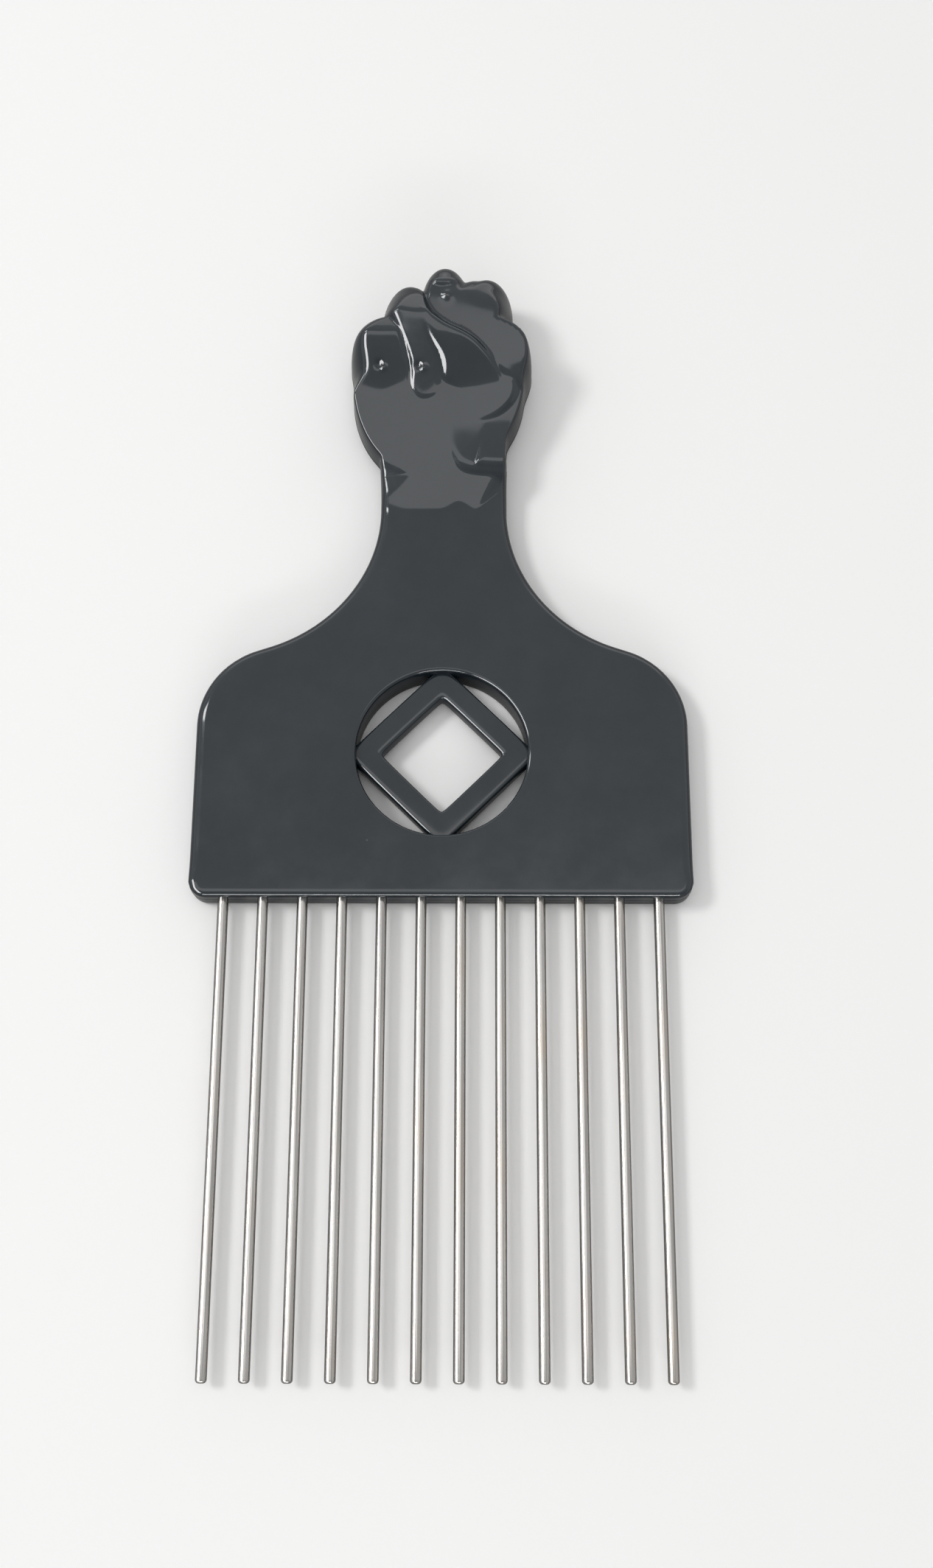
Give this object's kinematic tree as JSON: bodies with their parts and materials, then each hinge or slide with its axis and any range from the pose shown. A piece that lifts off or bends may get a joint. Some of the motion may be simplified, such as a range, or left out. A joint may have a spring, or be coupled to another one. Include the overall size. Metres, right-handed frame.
{
  "type": "afro pick",
  "caption": "Hair pick: a black moulded handle with a round pierced window and a raised fist as its grip, over a row of straight steel wire tines.",
  "frame": {"origin": "under the middle of the part, on the plane that its flat back rests on", "axes": "+Z rises out of the front face, where the fist stands in relief; +Y runs along the part from the tines' tips to the fist; +X runs along the row of tines, to the right seen from the front"},
  "size_m": [0.07, 0.1621, 0.0139],
  "materials": {
    "handle_plastic": "gloss black, moulded",
    "tine_steel": "nickel-plated drawn wire, bright"
  },
  "bodies": {
    "root": {"handle": "handle_plastic", "tine_01": "tine_steel", "tine_02": "tine_steel", "tine_03": "tine_steel", "tine_04": "tine_steel", "tine_05": "tine_steel", "tine_06": "tine_steel", "tine_07": "tine_steel", "tine_08": "tine_steel", "tine_09": "tine_steel", "tine_10": "tine_steel", "tine_11": "tine_steel", "tine_12": "tine_steel"}
  },
  "joints": []
}
